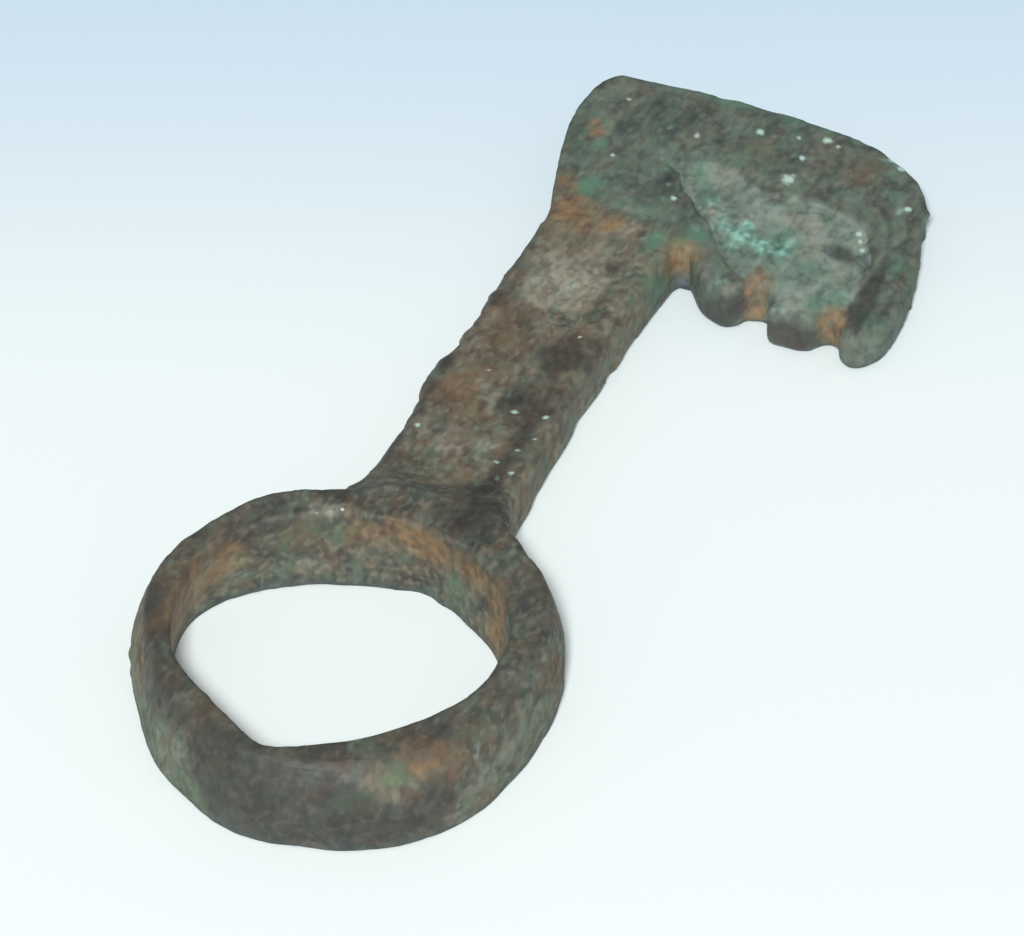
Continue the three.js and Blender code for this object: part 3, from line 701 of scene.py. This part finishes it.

# Hard pale specks, of corrosion and as painted glints, as (X, Y, Z, size).
SPECKS_AND_GLINTS = (
    (51.0, -4.0, 3.2, 0.26), (52.2, -7.8, 3.0, 0.3), (51.9, -8.6, 3.0, 0.14), (47.8, -7.1, 3.2, 0.42),
    (51.6, -6.2, 3.1, 0.14), (49.9, -7.1, 3.1, 0.16), (52.3, -11.9, 2.8, 0.2), (51.8, -12.7, 2.8, 0.24),
    (48.5, -14.3, 2.7, 0.24), (43.2, -1.7, 3.4, 0.2), (44.1, -13.2, 2.9, 0.2), (45.4, -12.5, 2.9, 0.18),
    (44.8, -12.8, 2.9, 0.12), (22.1, -2.6, 3.4, 0.18), (21.8, -0.8, 3.4, 0.15), (16.8, -2.8, 3.4, 0.16),
    (16.2, -2.2, 3.4, 0.12), (18.8, -2.3, 3.4, 0.11), (20.1, -2.8, 3.4, 0.11), (17.4, -1.6, 3.4, 0.1),
    (8.3, 3.7, 5.3, 0.09), (7.9, 4.2, 5.3, 0.06), (7.5, 4.9, 5.3, 0.06), (29.2, -1.7, 3.4, 0.1),
    (18.5, 3.7, 3.4, 0.13), (49.2, -0.7, 3.3, 0.2), (50.9, 4.4, 3.4, 0.14), (45.6, 3.2, 3.4, 0.13),
    (24.5, 2.0, 3.4, 0.1), (-11.0, -10.0, 2.0, 0.08), (-2.4, -12.4, 2.4, 0.1))


def stain(points, places, ragged):
    """Soft round patches added together, their edges torn by noise: 0 where bare, 1 where covered."""
    total = np.zeros(len(points))
    for place in places:
        away = (points - np.array(place[:3])) / np.array(place[3:6])
        total += place[6] * np.exp(-np.sum(away * away, axis=1))
    return smooth_step(0.1, 1.0, total + 0.28 * ragged)


def specks_and_glints(points):
    """Small hard spots of pale corrosion and painted glints, each round with a soft rim."""
    total = np.zeros(len(points))
    torn = 0.4 * swells(points, 0.25, 73)
    for x, y, z, size in SPECKS_AND_GLINTS:
        away = np.sqrt(np.sum(((points - np.array((x, y, z))) / (size, size, 3 * size)) ** 2, axis=1))
        total = np.maximum(total, 1.0 - smooth_step(0.5, 1.3, away + torn))
    return total


def finish_marks(points, marks):
    """Where each finish lies, from 0 to 1, kept on the mesh for the material to read."""
    ragged = layered(points, 1.6, 3, 53)
    marks["soil"] = stain(points, SOIL, ragged)
    marks["bloom"] = stain(points, BLOOM, layered(points, 0.9, 3, 71))
    marks["green"] = stain(points, GREEN, layered(points, 1.4, 3, 59))
    marks["pale"] = stain(points, PALE, layered(points, 1.2, 3, 61))
    marks["dark"] = stain(points, DARK_AND_SHADED, layered(points, 1.5, 3, 67))
    marks["warm"] = stain(points, WARM, layered(points, 1.8, 3, 79))
    marks["ash"] = stain(points, ASH, layered(points, 1.3, 3, 83))
    marks["shadowed"] = stain(points, SHADOWED, 0.4 * ragged)
    marks["speck_and_glint"] = specks_and_glints(points)
    return marks


def make_piece(name, node, grid, distance, joined, material):
    """One corroded piece of the key: its grid settled on the skin, roughened, and set in the CAD's place."""
    plain_skin = settle(grid.reshape(-1, 3), distance)
    outward = slope(distance, plain_skin)
    outward /= np.maximum(np.linalg.norm(outward, axis=1, keepdims=True), 1e-6)
    height, marks = relief(plain_skin, outward)
    marks = finish_marks(plain_skin, marks)
    points = (plain_skin + outward * height[:, None]) * MM + key_middle
    points = np.clip(points, np.array(cad_box[0]), np.array(cad_box[1]))
    mesh = grid_mesh(name, points.reshape(grid.shape), joined)
    for mark, values in marks.items():
        mesh.attributes.new(mark, "FLOAT", "POINT").data.foreach_set("value", values.astype(np.float32))
    weld(mesh)
    mesh.polygons.foreach_set("use_smooth", np.ones(len(mesh.polygons), dtype=bool))
    mesh.materials.append(material)
    piece = bpy.data.objects.new(name, mesh)
    bpy.context.scene.collection.objects.link(piece)
    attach(piece, "root")
    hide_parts(node)
    return piece


class Socket:
    """A shader value that can be written as ordinary sums."""

    def __init__(self, tree, value):
        self.tree = tree
        self.value = value

    def _maths(self, operation, *terms):
        node = self.tree.nodes.new("ShaderNodeMath")
        node.operation = operation
        for place, term in enumerate(terms):
            if isinstance(term, Socket):
                self.tree.links.new(term.value, node.inputs[place])
            else:
                node.inputs[place].default_value = term
        return Socket(self.tree, node.outputs[0])

    def __add__(self, other):
        return self._maths("ADD", self, other)

    def __radd__(self, other):
        return self._maths("ADD", other, self)

    def __sub__(self, other):
        return self._maths("SUBTRACT", self, other)

    def __rsub__(self, other):
        return self._maths("SUBTRACT", other, self)

    def __mul__(self, other):
        return self._maths("MULTIPLY", self, other)

    def __rmul__(self, other):
        return self._maths("MULTIPLY", other, self)

    def step(self, low, high):
        """0 below low, 1 above high, smooth between."""
        node = self.tree.nodes.new("ShaderNodeMapRange")
        node.interpolation_type = "SMOOTHSTEP"
        self.tree.links.new(self.value, node.inputs["Value"])
        node.inputs["From Min"].default_value = low
        node.inputs["From Max"].default_value = high
        return Socket(self.tree, node.outputs["Result"])


class Shader:
    """One material's node tree."""

    def __init__(self, name):
        self.material = bpy.data.materials.new(name)
        self.material.use_nodes = True
        self.tree = self.material.node_tree
        self.surface = self.tree.nodes["Principled BSDF"]

    def put(self, socket, value):
        """Joins a shader value to a node's input, or sets the input to a number or a colour."""
        if isinstance(value, Socket):
            self.tree.links.new(value.value, socket)
        else:
            socket.default_value = value

    def node(self, kind, settings=None, output=0, **inputs):
        """Adds a node, sets what it is, joins its inputs by name and gives one output."""
        made = self.tree.nodes.new(kind)
        for name, value in (settings or {}).items():
            setattr(made, name, value)
        for name, value in inputs.items():
            self.put(made.inputs[name.replace("_", " ")], value)
        return Socket(self.tree, made.outputs[output])

    def mark(self, name):
        """A finish's place on the mesh, from 0 to 1."""
        return self.node("ShaderNodeAttribute", {"attribute_name": name}, output="Fac")

    def noise(self, size, seed, detail=2.0, roughness=0.5):
        """Noise whose swells are about the given size in millimetres."""
        place = self.node("ShaderNodeTexCoord", output="Object")
        moved = self.node("ShaderNodeMapping", Vector=place, Scale=(0.66, 1.0, 0.8),
                          Location=(0.013 * seed, 0.007 * seed, 0.011 * seed))
        return self.node("ShaderNodeTexNoise", Vector=moved, Scale=1.0 / (size * MM), Detail=detail,
                         Roughness=roughness)

    def mix(self, low, high, share):
        """One colour where share is 0, the other where it is 1."""
        made = self.tree.nodes.new("ShaderNodeMix")
        made.data_type = "RGBA"
        self.put(made.inputs[0], share)
        self.put(made.inputs[6], low)
        self.put(made.inputs[7], high)
        return Socket(self.tree, made.outputs[2])


def colour(red, green, blue):
    """A colour as it shows on a screen, 0 to 255, turned into the shader's light values."""
    shares = np.array((red, green, blue)) / 255.0
    return (*(((shares + 0.055) / 1.055) ** 2.4).tolist(), 1.0)


DUSK = colour(68, 69, 65)
DRAB = colour(105, 107, 94)
UMBER = colour(79, 75, 67)
TAN = colour(124, 119, 102)
SLATE = colour(68, 81, 77)
MOSS = colour(110, 126, 115)
MAUVE = colour(98, 92, 86)
STONE = colour(95, 116, 110)
CHALK = colour(143, 162, 151)
SAGE = colour(100, 124, 106)
ASHEN = colour(128, 138, 122)
BEIGE = colour(160, 158, 142)
VERDIGRIS = colour(88, 140, 118)
TURQUOISE = colour(160, 212, 198)
GREEN_EARTH = colour(98, 120, 92)
MINT = colour(206, 236, 222)
OCHRE = colour(152, 122, 86)
RUST = colour(122, 96, 72)
PIT = colour(52, 50, 50)
LILAC_SHADE = colour(98, 98, 112)
FOOT_SHADE_TEAL = colour(62, 80, 82)
WHITE_PAPER = colour(243, 252, 251)
DIMMED_BLUE_PAPER = colour(210, 231, 247)


def corroded_bronze(name):
    """Drab and umber ground, pale crust, green bloom, ochre soil, dark pits, mint-white specks and painted
    glints, with painted shade in corners, notches and along the foot.
    """
    shader = Shader(name)
    wide, middle = shader.noise(3.0, 1), shader.noise(1.2, 2)
    fine, warmth = shader.noise(0.5, 3, detail=1.0), shader.noise(1.1, 5, detail=1.0)
    greenness, brightness = shader.noise(1.2, 7, detail=1.0), shader.noise(0.36, 9, detail=0.5)
    mottle = (0.35 * wide + 0.4 * middle + 0.25 * fine).step(0.35, 0.65)
    bow, crusted, flaked = shader.mark("bow"), shader.mark("crust"), shader.mark("flaked")
    tone = shader.mix(shader.mix(UMBER, TAN, mottle), shader.mix(DUSK, DRAB, mottle), bow)
    purple = (0.6 * wide + 0.4 * warmth).step(0.44, 0.62)
    crust = shader.mix(shader.mix(SLATE, MOSS, mottle), MAUVE, purple * 0.35)
    tone = shader.mix(tone, crust, crusted)
    tone = shader.mix(tone, shader.mix(STONE, CHALK, mottle), flaked * 0.9)
    tone = shader.mix(tone, SAGE, greenness.step(0.46, 0.64) * (0.32 + 0.16 * crusted + 0.14 * flaked))
    tone = shader.mix(tone, RUST, (1.0 - warmth).step(0.46, 0.64) * (0.34 - 0.16 * crusted - 0.24 * flaked))
    tone = shader.mix(tone, BEIGE, brightness.step(0.5, 0.7) * (0.26 - 0.12 * crusted))
    tone = shader.mix(tone, PIT, (1.0 - fine).step(0.48, 0.68) * (0.26 - 0.1 * crusted))
    tone = shader.mix(tone, RUST, shader.mark("warm") * (0.5 + 0.5 * warmth.step(0.4, 0.6)) * 0.7)
    dusty = (0.4 * shader.mark("streaks") + fine).step(0.3, 0.75)
    tone = shader.mix(tone, ASHEN, shader.mark("ash") * (0.3 + 0.7 * dusty) * 0.6)
    tone = shader.mix(tone, BEIGE, shader.mark("pale") * (0.45 + 0.55 * brightness.step(0.38, 0.62)) * 0.75)
    soil = shader.mix(RUST, OCHRE, (0.5 * middle + 0.5 * fine).step(0.4, 0.6))
    tone = shader.mix(tone, soil, shader.mark("soil") * (0.6 + 0.4 * brightness.step(0.36, 0.6)) * 0.8)
    moss = shader.mix(VERDIGRIS, GREEN_EARTH, (0.7 * bow + 0.6 * wide).step(0.25, 0.6))
    tone = shader.mix(tone, moss, shader.mark("green") * (0.4 + 0.6 * greenness.step(0.38, 0.6)) * 0.7)
    bloom = (0.4 * middle + 0.3 * fine + 0.3 * brightness).step(0.38, 0.6)
    blue_green = shader.mix(VERDIGRIS, TURQUOISE, bloom)
    tone = shader.mix(tone, blue_green, shader.mark("bloom") * (0.6 + 0.4 * bloom) * 0.95)
    # Dark crust, and painted shade in corners and on shaded sides.
    tone = shader.mix(tone, PIT, shader.mark("dark") * 0.68)
    tone = shader.mix(tone, DUSK, shader.mark("rim") * 0.35)
    # Darker in the pits: dark corrosion with painted shade.
    tone = shader.mix(tone, PIT, shader.mark("hollow").step(0.1, 0.9) * 0.24)
    # Painted shadow along the flake's edge, and darker along the cracks.
    tone = shader.mix(tone, PIT, shader.mark("crack") * 0.28)
    # Painted lilac-grey shade in the notches.
    tone = shader.mix(tone, LILAC_SHADE, shader.mark("shadowed") * 0.7)
    # Painted contact shade along the foot.
    tone = shader.mix(tone, FOOT_SHADE_TEAL, shader.mark("foot") * 0.55)
    # Mint-white specks: pale corrosion and painted glints.
    tone = shader.mix(tone, MINT, shader.mark("speck_and_glint") * 0.8)
    shader.put(shader.surface.inputs["Base Color"], tone)
    shader.put(shader.surface.inputs["Roughness"], 0.8 - 0.2 * shader.mark("dark") - 0.15 * fine)
    shader.surface.inputs["Metallic"].default_value = 0.1
    shader.surface.inputs["Specular IOR Level"].default_value = 0.35
    bump = shader.node("ShaderNodeBump", Height=fine + 0.5 * brightness, Strength=0.35, Distance=0.05 * MM,
                       output="Normal")
    shader.put(shader.surface.inputs["Normal"], bump)
    return shader.material


def make_floor():
    """Pale paper, white by the ring, turning light blue and darker beyond the bit: a blue tint with a
    painted fall-off of light.
    """
    half = 1.5
    corners = [(-half, -half, 0), (half, -half, 0), (half, half, 0), (-half, half, 0)]
    mesh = bpy.data.meshes.new("paper")
    mesh.from_pydata(corners, [], [(0, 1, 2, 3)])
    shader = Shader("pale_paper")
    place = shader.node("ShaderNodeTexCoord", output="Object")
    onward = shader.node("ShaderNodeVectorMath", {"operation": "DOT_PRODUCT"}, output="Value")
    dot = onward.value.node
    shader.put(dot.inputs[0], place)
    dot.inputs[1].default_value = (-math.sin(VIEW_AZIMUTH), math.cos(VIEW_AZIMUTH), 0.0)
    # Painted fall-off of light: the paper darkens and turns blue away from the camera.
    tone = shader.mix(WHITE_PAPER, DIMMED_BLUE_PAPER, onward.step(4.0 * MM, 50.0 * MM))
    shader.put(shader.surface.inputs["Base Color"], tone)
    shader.surface.inputs["Roughness"].default_value = 0.9
    shader.surface.inputs["Specular IOR Level"].default_value = 0.1
    mesh.materials.append(shader.material)
    floor = bpy.data.objects.new("paper", mesh)
    bpy.context.scene.collection.objects.link(floor)


def direction(azimuth, elevation):
    """The way from the key to a place round it and above the paper."""
    level = math.cos(elevation)
    return Vector((math.sin(azimuth) * level, -math.cos(azimuth) * level, math.sin(elevation)))


def make_flash():
    """The lamp close beside the camera that lights the key nearly without shadows."""
    place = direction(VIEW_AZIMUTH + FLASH_TURN, VIEW_ELEVATION + FLASH_RISE) * FLASH_DISTANCE
    lamp = bpy.data.lights.new("flash", "AREA")
    lamp.size = FLASH_SIZE
    lamp.energy = FLASH_POWER
    holder = bpy.data.objects.new("flash", lamp)
    holder.location = place
    holder.rotation_euler = (-place).to_track_quat("-Z", "Y").to_euler()
    bpy.context.scene.collection.objects.link(holder)


def make_camera():
    """The photograph's camera, placed from the CAD's own middle of the ring."""
    back = direction(VIEW_AZIMUTH, VIEW_ELEVATION)
    lens = bpy.data.cameras.new("camera")
    lens.sensor_width = 36.0
    lens.sensor_fit = "HORIZONTAL"
    lens.lens = FOCAL_PIXELS / FRAME_WIDTH * lens.sensor_width
    camera = bpy.data.objects.new("camera", lens)
    camera.location = Vector(key_middle) + AIM_FROM_RING + back * VIEW_DISTANCE
    camera.rotation_euler = back.to_track_quat("Z", "Y").to_euler()
    bpy.context.scene.collection.objects.link(camera)
    bpy.context.scene.camera = camera


def make_world():
    """Soft light from all round, slightly cool."""
    world = bpy.data.worlds.new("room")
    world.use_nodes = True
    background = world.node_tree.nodes["Background"]
    background.inputs["Color"].default_value = ROOM_COLOUR
    background.inputs["Strength"].default_value = ROOM_STRENGTH
    bpy.context.scene.world = world


# The middle of the ring in the CAD's frame, from the shoulder's end and the shank's right side.
bow_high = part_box("bow_ring")[1]
shank_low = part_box("shank")[0]
key_middle = np.array((
    bow_high[0] - SHANK_START * MM, shank_low[1] - (SHANK_RIGHT - SHANK_SWELL_RIGHT) * MM, 0.0))

make_piece("bow_ring_bronze", "bow_ring", ring_grid(), within(high_x=SHANK_START), True,
           corroded_bronze("bow_bronze"))
make_piece("shank_bronze", "shank", shank_grid(),
           within(low_x=SHANK_START, high_x=SHANK_END), False, corroded_bronze("shank_bronze"))
make_piece("bit_bronze", "bit", bit_grid(),
           within(low_x=SHANK_END, low_y=BIT_INNER_EDGE), False, corroded_bronze("bit_bronze"))
make_floor()
make_flash()
make_world()
make_camera()
bpy.context.scene.view_settings.view_transform = "Standard"
